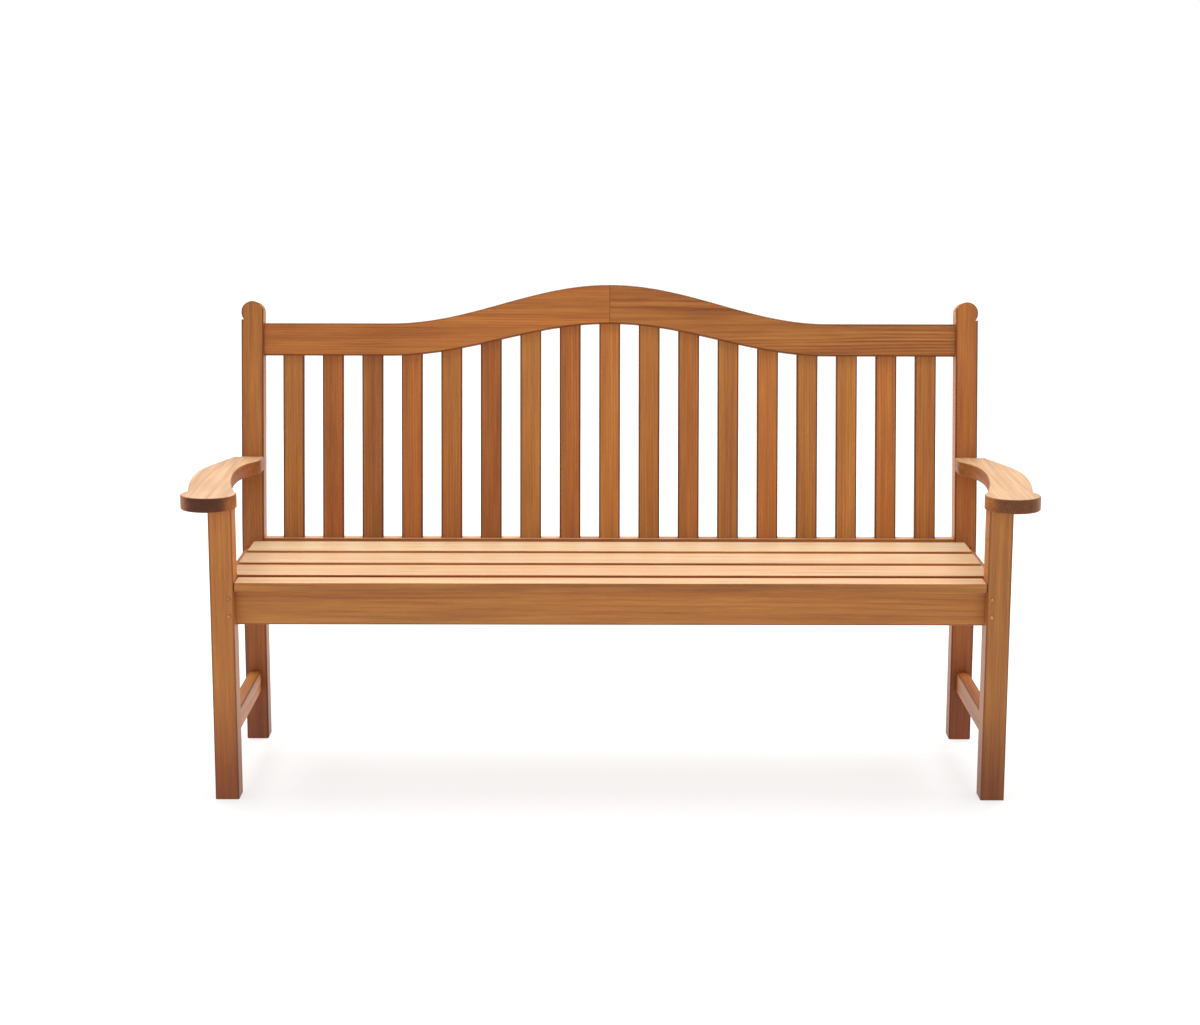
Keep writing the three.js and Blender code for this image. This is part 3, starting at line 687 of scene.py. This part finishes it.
crest_tree = crest_shape()
crest_woods = {}
# each crest board: painted shade on its eased edges, painted light on its top
for side, (heart, figure) in CREST_CUTS.items():
    crest_woods[side] = teak(f"crest_wood_{side}", end_axis=(1, 0, 0), heart=heart, figure=figure,
                             arris_shade=0.8, painted_top_light=0.3)
post_inner = post_low.x
up_rake = turned(UPWARD, (1, 0, 0))
housings = tool_boards("housings", board_tree, slat_places, larger(slat_sizes), up_rake)
for side, sign in (("left", -1), ("right", 1)):
    node = f"crest_rail_{side}"
    ends = sorted((sign * BUTT_GAP / 2, sign * (post_inner - CLEARANCE)))
    sizes = {"Start": ends[0], "End": ends[1], "Rise": CREST_TOP_RISE, "Rise below": CREST_UNDER_RISE,
             "Wave": CREST_WAVE, "End top": CREST_END_TOP, "End depth": CREST_END_DEPTH,
             "Thickness": CREST_THICKNESS, "Root": back_root, "Material": crest_woods[side]}
    number = board_numbers.random()
    crest = grown(node + "_board", bpy.data.meshes.new(node + "_board"), crest_tree, sizes)
    bevel = eased(crest, ARRIS, EASING_STEPS).modifiers[-1]
    bevel.limit_method = "WEIGHT"

    tenon_x = sign * (post_inner - CLEARANCE + CREST_TENON[0] / 2)
    tenon_up = CREST_END_TOP - CREST_END_DEPTH / 2
    tenon_place = back_root + Vector((tenon_x, 0, 0)) + Vector(UPWARD) * tenon_up
    tenon = tool_boards(node + "_tenon", board_tree, [tenon_place], [CREST_TENON],
                        turned((1, 0, 0), UPWARD))
    peg_node = f"crest_peg_{side}"
    peg_size = (length_along(peg_node, BACKWARD, PEG_DIAMETER), PEG_DIAMETER, PEG_DIAMETER)
    peg_hole = tool_boards(node + "_hole", peg_tree, [box_centre(peg_node)], larger([peg_size]),
                           turned(BACKWARD, (-1, 0, 0)))
    shaved(crest, tenon, "UNION")
    shaved(crest, housings)
    shaved(crest, peg_hole)
    finished(crest)
    lay_crest_grain(crest.data, number, CREST_SHADES[side])
    bpy.data.objects.remove(tenon)
    bpy.data.objects.remove(peg_hole)
    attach(crest, "root")
    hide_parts(node)
bpy.data.objects.remove(housings)

tongue = from_cad("crest_tongue", "X", PEG_SHADE, peg_wood)
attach(tongue, "root")
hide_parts("crest_tongue")


# ---------------------------------------------------------------- seat slats
# Three wide slats lie across the side rails, and a narrow one fits between the front legs. They are teak
# boards eased all round, fixed from below, so that no screw shows on top.

# painted light: the rear slats are given lighter shades, which also pale their tops more, against the shade
# the back casts on them
SEAT_SHADES_LIT_REARWARD = (0.46, 0.46, 0.57, 0.7)

# painted light pales the slat tops, and no painted shade is put on their edges
seat_wood = teak("seat_wood", end_axis=(1, 0, 0), lightness=-0.03, arris_shade=0.0, painted_top_light=0.6)
nodes = [f"seat_slat_{i + 1}" for i in range(len(SEAT_SHADES_LIT_REARWARD))]
sizes = [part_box(node)[1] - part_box(node)[0] for node in nodes]
mesh = seeds("seat_slats", [box_centre(node) for node in nodes], sizes, SEAT_SHADES_LIT_REARWARD)
seat = grown("seat_slats", mesh, board_tree, {"Turn": (0, 0, 0), "Material": seat_wood})
finished(eased(seat, ARRIS, EASING_STEPS))
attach(seat, "root")
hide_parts(*nodes)


# ---------------------------------------------------------------- armrests and their dowels
# Each armrest is one flat board, sawn to a round paddle over the leg, a swelling outer edge and a waisted
# inner one. The leg's stub tenon holds it at the front, and a dowel pins its tail to the post.

ARM_LOOKS = {"left": (0.46, 1.0), "right": (0.43, 0.65)}  # shade, and how dark the end grain is
ARM_STEPS = 24                 # along each of its curves
PADDLE_RADIUS = 0.052          # the round front end
PADDLE_OUT = 0.0225            # its centre, outwards from the middle of the leg
PADDLE_BACK = 0.019            # and back from the front of the leg
NECK_ANGLE = math.radians(33)  # how far the round runs past its widest line
BELLY_OUT = 0.084              # outermost point of the outer edge, from the middle of the leg
BELLY_BACK = 0.235
WAIST_OUT = 0.010              # outermost point of the inner edge
WAIST_BACK = 0.265
TAIL_OVERHANG = 0.006          # beyond the outside of the post
LEG_TENON_SHOULDER = 0.010
DOWEL_DIAMETER = 0.010
POST_CUT = (1.0, 0.3)          # along and across the tool that cuts the tail to the post, larger than both


def bezier(start, pull_start, pull_end, end):
    """Points along a curve, without its last one."""
    points = []
    for i in range(ARM_STEPS):
        t = i / ARM_STEPS
        u = 1 - t
        shares = (u ** 3, 3 * u * u * t, 3 * u * t * t, t ** 3)
        corners = (start, pull_start, pull_end, end)
        points.append(sum((Vector(corner) * share for corner, share in zip(corners, shares)), Vector((0, 0))))
    return points


def arm_outline(leg_low, leg_high, post_front, thickness):
    """Plan of the right-hand armrest. Its tail runs past the post's front, to be cut to the rake."""
    leg_middle = (leg_low.x + leg_high.x) / 2
    front = leg_low.y
    paddle = Vector((leg_middle + PADDLE_OUT, front + PADDLE_BACK))
    neck = Vector((math.cos(NECK_ANGLE), math.sin(NECK_ANGLE))) * PADDLE_RADIUS
    neck_y = paddle.y + neck.y
    belly = leg_middle + BELLY_OUT
    belly_y = front + BELLY_BACK
    waist = leg_middle + WAIST_OUT
    waist_y = front + WAIST_BACK
    tail_root = post_front - thickness
    tail_end = post_front + POST_DEPTH
    tail_outer = leg_high.x + TAIL_OVERHANG
    belly_pull = (tail_root - belly_y) / 2
    waist_pull = (tail_root - waist_y) / 2

    outer_front = bezier((paddle.x + neck.x, neck_y),
                         (paddle.x + neck.x + PADDLE_RADIUS / 8, neck_y + PADDLE_RADIUS),
                         (belly, belly_y - belly_pull), (belly, belly_y))
    outer_back = bezier((belly, belly_y), (belly, belly_y + belly_pull),
                        (tail_outer + thickness, tail_root - belly_pull / 2), (tail_outer, tail_end))
    tail = [(tail_outer, tail_end), (leg_low.x, tail_end)]
    inner_back = bezier((leg_low.x, tail_root), (leg_low.x, tail_root - waist_pull / 2),
                        (waist, tail_root - waist_pull / 2), (waist, waist_y))
    inner_front = bezier((waist, waist_y), (waist, waist_y - waist_pull),
                         (paddle.x - neck.x + PADDLE_RADIUS / 4, neck_y + PADDLE_RADIUS),
                         (paddle.x - neck.x, neck_y))
    angles = np.linspace(math.pi - NECK_ANGLE, 2 * math.pi + NECK_ANGLE, 2 * ARM_STEPS, endpoint=False)
    round_end = [paddle + Vector((math.cos(a), math.sin(a))) * PADDLE_RADIUS for a in angles]
    return outer_front + outer_back + tail + inner_back + inner_front + round_end


def arm_board(name, outline, low, high, sign):
    """A plank of that outline, mirrored to the side it belongs to."""
    plank = bmesh.new()
    base = plank.faces.new([plank.verts.new((sign * x, y, low)) for x, y in outline])
    raised = bmesh.ops.extrude_face_region(plank, geom=[base])["geom"]
    corners = [item for item in raised if isinstance(item, bmesh.types.BMVert)]
    bmesh.ops.translate(plank, verts=corners, vec=(0, 0, high - low))
    bmesh.ops.recalc_face_normals(plank, faces=plank.faces)
    mesh = bpy.data.meshes.new(name)
    plank.to_mesh(mesh)
    plank.free()
    return mesh


leg_low, leg_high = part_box("front_leg_right")
arm_low, arm_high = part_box("armrest_right")
arm_thickness = arm_high.z - arm_low.z
post_front = (back_root.y + ((arm_low.z + arm_high.z) / 2 - back_root.z) * math.tan(RAKE)
              - POST_DEPTH / 2 / math.cos(RAKE))
outline = arm_outline(leg_low, leg_high, post_front, arm_thickness)
leg_tenon = (leg_high - leg_low) - Vector((LEG_TENON_SHOULDER, LEG_TENON_SHOULDER, 0)) * 2
for side, sign in (("left", -1), ("right", 1)):
    node = f"armrest_{side}"
    shade, end_oil = ARM_LOOKS[side]
    mesh = arm_board(f"{node}_board", outline, arm_low.z, arm_high.z, sign)
    # painted light pales the arm's top
    mesh.materials.append(teak(f"arm_wood_{side}", end_axis=(0, 1, 0), lightness=-0.17, figure=0.8,
                               arris_shade=0.0, end_oil=end_oil, painted_top_light=0.5))
    arm = bpy.data.objects.new(f"{node}_board", mesh)
    bpy.context.scene.collection.objects.link(arm)
    eased(arm, ARRIS, EASING_STEPS)

    # the leg's tenon, the post and the dowel are cut out of it
    mortise = tool_boards("mortise", board_tree, [box_centre(f"front_leg_{side}")],
                          larger([leg_tenon]), (0, 0, 0))
    behind = Vector((sign * leg_high.x, back_root.y, back_root.z)) + Vector(BACKWARD) * POST_DEPTH / 2
    post_cut = tool_boards("post_cut", board_tree, [behind], larger([(*POST_CUT, 2 * POST_DEPTH)]), up_rake)
    dowel_low, dowel_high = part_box(f"arm_dowel_{side}")
    dowel_size = (dowel_high.y - dowel_low.y, DOWEL_DIAMETER, DOWEL_DIAMETER)
    dowel_hole = tool_boards("dowel_hole", peg_tree, [box_centre(f"arm_dowel_{side}")],
                             larger([dowel_size]), turned((0, 1, 0), (-1, 0, 0)))
    for tool in (mortise, post_cut, dowel_hole):
        shaved(arm, tool)
    finished(arm)
    lay_grain(arm.data, "Y", shade)
    for tool in (mortise, post_cut, dowel_hole):
        bpy.data.objects.remove(tool)
    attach(arm, "root")
    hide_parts(node)

    dowel = from_cad(f"arm_dowel_{side}", "Y", PEG_SHADE, peg_wood)
    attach(dowel, "root")
    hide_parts(f"arm_dowel_{side}")


# ---------------------------------------------------------------- floor, light and camera
# A plain pale floor, a white surround, one large soft light overhead and a lit backdrop behind.

FLOOR_SIZE = 40.0
FLOOR_COLOUR = (0.3, 0.3, 0.3, 1.0)
FLOOR_ROUGHNESS = 0.9
FLOOR_SHEEN = 0.1
FLOOR_GLOW = 0.68          # keeps the floor pale in the bench's shade
GLOW_RISE = (1.0, 6.0)     # distance over which it grows to full white

floor_material = bpy.data.materials.new("floor")
floor_material.use_nodes = True
floor_shader = floor_material.node_tree.nodes["Principled BSDF"]
floor_shader.inputs["Base Color"].default_value = FLOOR_COLOUR
floor_shader.inputs["Roughness"].default_value = FLOOR_ROUGHNESS
floor_shader.inputs["Specular IOR Level"].default_value = FLOOR_SHEEN
floor_shader.inputs["Emission Strength"].default_value = 1.0
place = Field(floor_material.node_tree).node("ShaderNodeTexCoord", output="Object")
distance = place.node("ShaderNodeVectorMath", {"operation": "LENGTH"}, {0: place}, 1)
glow = FLOOR_GLOW + distance.step(*GLOW_RISE) * (1 - FLOOR_GLOW)
floor_material.node_tree.links.new(glow.socket, floor_shader.inputs["Emission Color"])
floor_mesh = bpy.data.meshes.new("floor")
half = FLOOR_SIZE / 2
floor_corners = [(-half, -half, 0), (half, -half, 0), (half, half, 0), (-half, half, 0)]
floor_mesh.from_pydata(floor_corners, [], [(0, 1, 2, 3)])
floor_mesh.materials.append(floor_material)
floor = bpy.data.objects.new("floor", floor_mesh)
bpy.context.scene.collection.objects.link(floor)

SURROUND_LIGHT = 0.6       # what falls on the bench
SEEN_WHITE = 1.1           # what the camera sees

world = bpy.data.worlds.new("surround")
world.use_nodes = True
bpy.context.scene.world = world
surround = Field(world.node_tree)
seen = surround.node("ShaderNodeLightPath", output="Is Camera Ray")
background = world.node_tree.nodes["Background"]
glow = seen * (SEEN_WHITE - SURROUND_LIGHT) + SURROUND_LIGHT
world.node_tree.links.new(glow.socket, background.inputs["Color"])


def soft_light(name, place, target, size, power):
    """A rectangular lamp that looks at its target."""
    lamp = bpy.data.lights.new(name, "AREA")
    lamp.shape = "RECTANGLE"
    lamp.size, lamp.size_y = size
    lamp.energy = power
    light = bpy.data.objects.new(name, lamp)
    light.location = place
    light.rotation_euler = (Vector(target) - Vector(place)).to_track_quat("-Z", "Y").to_euler()
    bpy.context.scene.collection.objects.link(light)
    return light


soft_light("overhead", place=(0, 0.9, 3.4), target=(0, 0.2, 0.4), size=(5.0, 3.0), power=240)
backdrop = soft_light("backdrop", place=(0, 4.0, 1.6), target=(0, 0, 0.6), size=(9.0, 3.0), power=120)
backdrop.visible_glossy = False

CAMERA_PLACE = (-0.0273, -4.5209, 1.3731)
CAMERA_TILT = math.radians(10.82)
CAMERA_TURN = math.radians(-0.098)
CAMERA_ROLL = math.radians(0.117)
CAMERA_LENS = 70.22
SENSOR_WIDTH = 36

camera_data = bpy.data.cameras.new("camera")
camera_data.lens = CAMERA_LENS
camera_data.sensor_width = SENSOR_WIDTH
camera = bpy.data.objects.new("camera", camera_data)
camera.matrix_world = (Matrix.Translation(CAMERA_PLACE)
                       @ Matrix.Rotation(CAMERA_TURN, 4, "Z")
                       @ Matrix.Rotation(math.radians(90) - CAMERA_TILT, 4, "X")
                       @ Matrix.Rotation(CAMERA_ROLL, 4, "Z"))
bpy.context.scene.collection.objects.link(camera)
bpy.context.scene.camera = camera
bpy.context.scene.view_settings.view_transform = "Standard"
